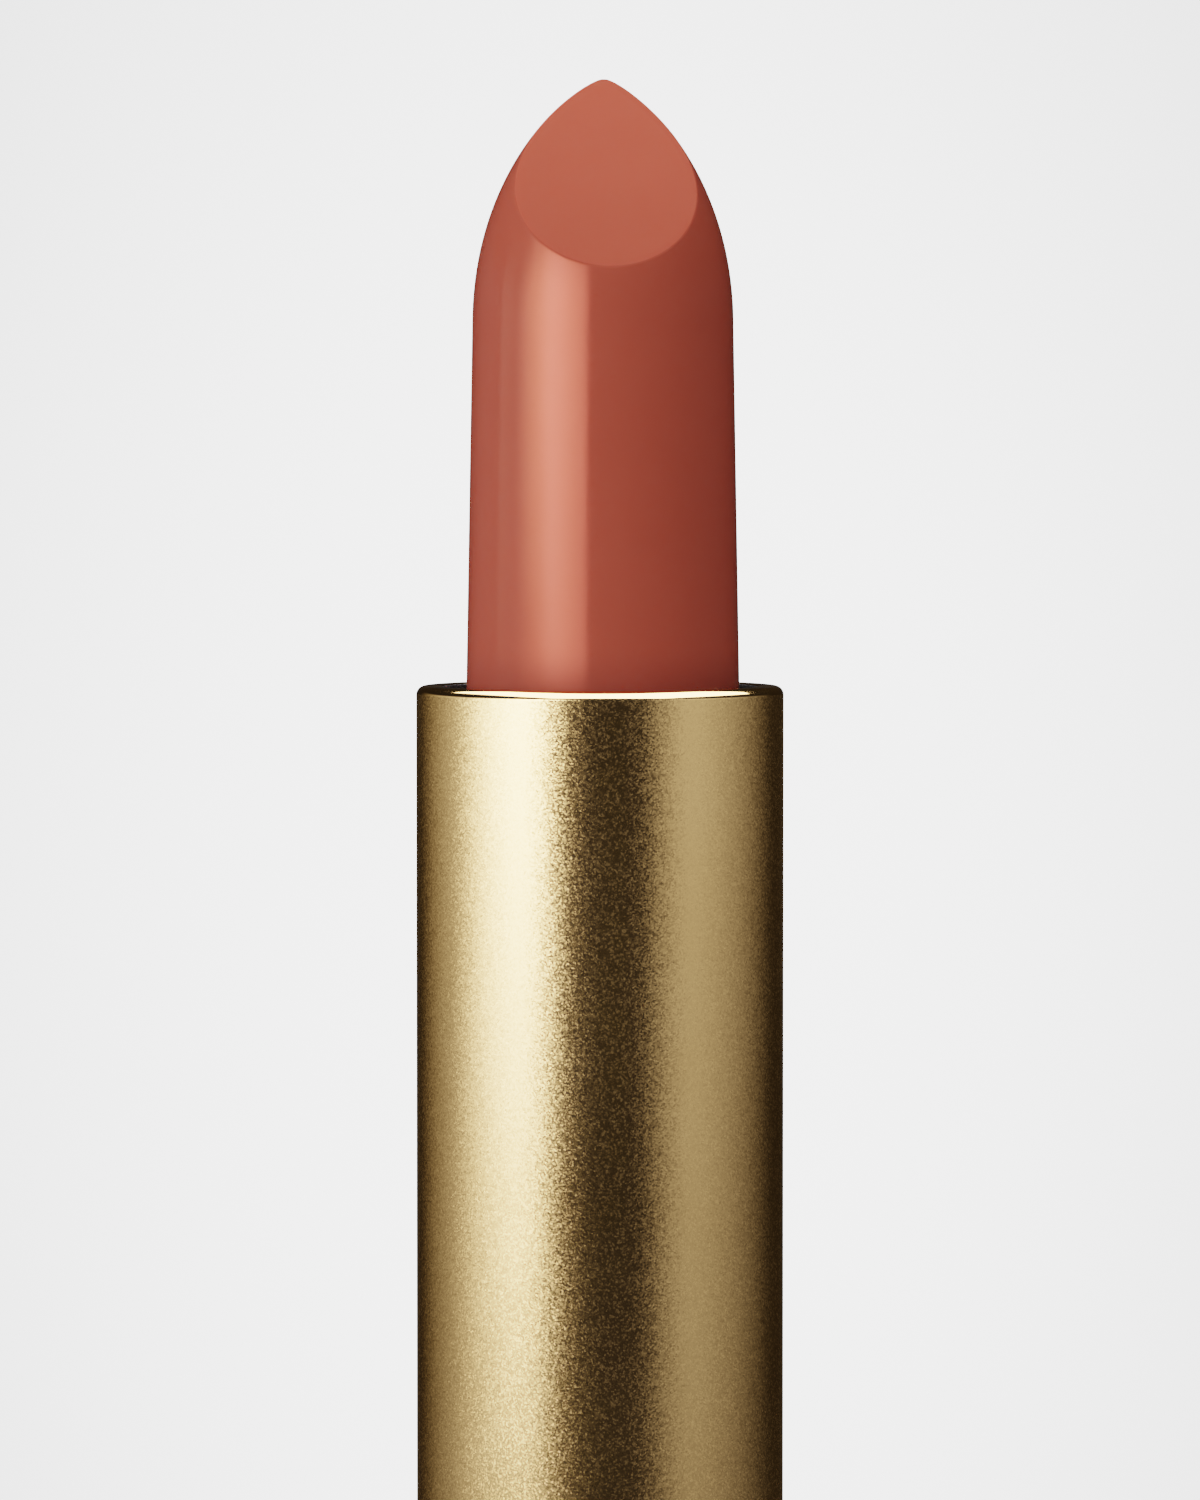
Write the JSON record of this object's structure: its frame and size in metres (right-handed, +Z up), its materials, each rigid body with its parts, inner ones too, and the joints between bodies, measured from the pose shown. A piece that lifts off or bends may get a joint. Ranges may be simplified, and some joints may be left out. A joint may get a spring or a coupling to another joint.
{
  "type": "twist-up lipstick case",
  "caption": "Twist-up lipstick: satin gold sleeve with a polished rim, slant-cut lipstick raised by a helical cam, weighted base, and its cap standing beside it.",
  "frame": {"origin": "centre of the base's foot, on the lipstick's axis, on the surface it stands on", "axes": "+Z up along the lipstick's axis; the lipstick's cut face looks along -Y; +X to the right, towards the cap"},
  "size_m": [0.061, 0.05, 0.0962],
  "materials": {
    "satin_gold": "fine bead-blasted, gold anodised, satin",
    "polished_gold": "polished, gold anodised",
    "lipstick_wax": "soft satin wax",
    "black_plastic": "moulded, matte",
    "natural_plastic": "natural acetal, moulded",
    "zinc_steel": "zinc plated",
    "seal_rubber": "matte",
    "label": "printed film, blank"
  },
  "bodies": {
    "base": {"base_shell": "satin_gold", "base_foot_disc": "polished_gold", "shade_label": "label", "base_weight": "zinc_steel", "base_liner": "black_plastic", "keeper_ring": "zinc_steel", "collar_ring": "polished_gold", "guide_tube": "black_plastic", "tail_plug": "black_plastic", "friction_ring": "seal_rubber", "thrust_washer": "natural_plastic"},
    "sleeve": {"outer_sleeve": "satin_gold", "cam_sleeve": "natural_plastic"},
    "carriage": {"bullet_cup": "black_plastic", "lipstick_bullet": "lipstick_wax"},
    "cap": {"cap_shell": "satin_gold", "cap_liner": "black_plastic", "cap_magnet": "zinc_steel", "cap_weight": "zinc_steel", "cap_top_disc": "polished_gold"}
  },
  "joints": [
    {"name": "sleeve_turn", "type": "hinge", "parent": "base", "child": "sleeve", "pos_m": [0, 0, 0.048], "axis": [0, 0, 1], "range_deg": [0, 540]},
    {"name": "bullet_slide", "type": "slide", "parent": "base", "child": "carriage", "axis": [0, 0, 1], "range_m": [-0.03, 0]},
    {"name": "cap_lift", "type": "slide", "parent": "base", "child": "cap", "axis": [0, 0, 1], "range_m": [0, 0.06]}
  ],
  "couplings": [
    {"joint": "bullet_slide", "follows": "sleeve_turn", "m_per_rad": -0.003183}
  ]
}
